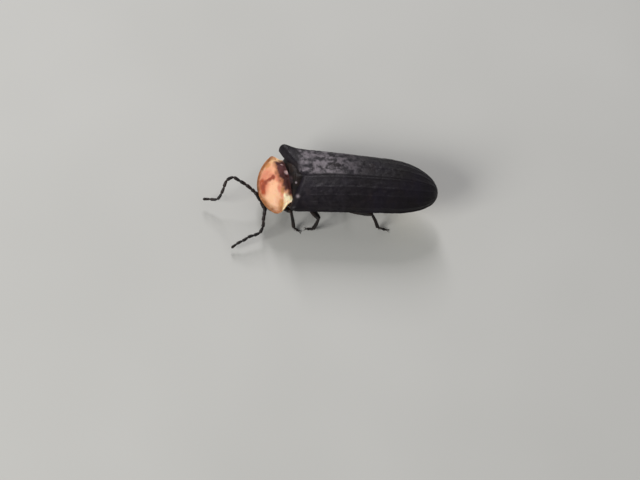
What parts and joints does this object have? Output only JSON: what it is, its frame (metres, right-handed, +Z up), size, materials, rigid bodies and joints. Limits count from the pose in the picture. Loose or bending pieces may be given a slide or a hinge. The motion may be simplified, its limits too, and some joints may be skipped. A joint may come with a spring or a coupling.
{
  "type": "firefly",
  "caption": "Life-size still model of a firefly: black ribbed wing cases, salmon pink shield over a dark head, bent feelers and legs standing on the floor.",
  "frame": {"origin": "On the floor plane, under the middle of the whole insect's box, feelers and feet counted in.", "axes": "+X runs along the body from the head to the tip of the wing cases, so the head points to -X; +Y is the insect's right side; +Z is up."},
  "size_m": [0.0199, 0.0096, 0.0045],
  "materials": {
    "case": "black, dull, finely ribbed and downy",
    "shield": "salmon pink with a darker hind band",
    "dark_body": "black, half dull",
    "eye": "black, glossy, finely faceted",
    "lantern": "pale cream",
    "rose_skin": "pinkish brown"
  },
  "bodies": {
    "root": {"elytron_left": "case", "elytron_right": "case", "pronotum": "shield", "prothorax": "rose_skin", "head": "dark_body", "eye_left": "eye", "eye_right": "eye", "antenna_left": "dark_body", "antenna_right": "dark_body", "scutellum": "dark_body", "thorax": "dark_body", "abdomen": "dark_body", "light_organ": "lantern", "abdomen_tip": "rose_skin", "leg_front_left": "dark_body", "leg_middle_left": "dark_body", "leg_hind_left": "dark_body", "leg_front_right": "dark_body", "leg_middle_right": "dark_body", "leg_hind_right": "dark_body"}
  },
  "joints": []
}
